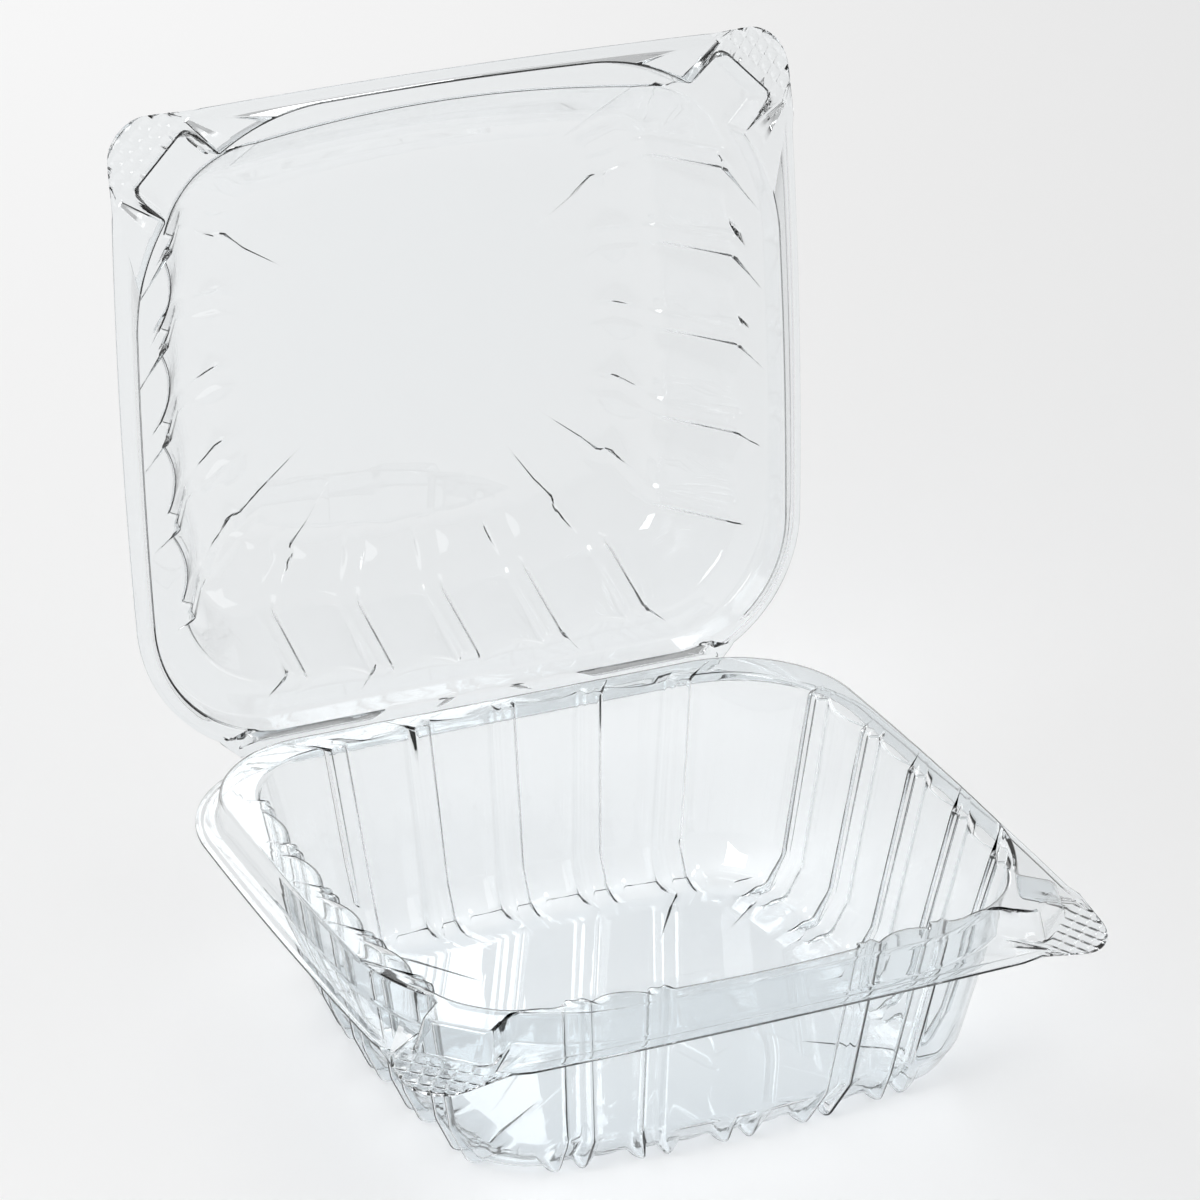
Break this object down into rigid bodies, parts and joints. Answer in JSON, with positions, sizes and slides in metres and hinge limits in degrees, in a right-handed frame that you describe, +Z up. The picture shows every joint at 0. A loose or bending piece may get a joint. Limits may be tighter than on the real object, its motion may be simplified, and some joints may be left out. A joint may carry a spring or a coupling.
{
  "type": "hinged clamshell food container",
  "caption": "Clear hinged clamshell food pack of thin formed plastic, with a fluted tray, a domed lid, a seal ridge and grip tabs.",
  "frame": {"origin": "middle of the tray's flange in plan, on the underside of the floor that the pack stands on", "axes": "+Z up, +Y from the grip tabs at the front to the hinge at the back, +X to the right"},
  "size_m": [0.15, 0.1779, 0.1725],
  "materials": {
    "clear_plastic": "gloss"
  },
  "bodies": {
    "base_tray": {"base_tray": "clear_plastic"},
    "lid": {"lid": "clear_plastic"}
  },
  "joints": [
    {"name": "lid_hinge", "type": "hinge", "parent": "base_tray", "child": "lid", "pos_m": [0, 0.06825, 0.037], "axis": [-1, 0, 0], "range_deg": [-96.6, 83.4]}
  ]
}
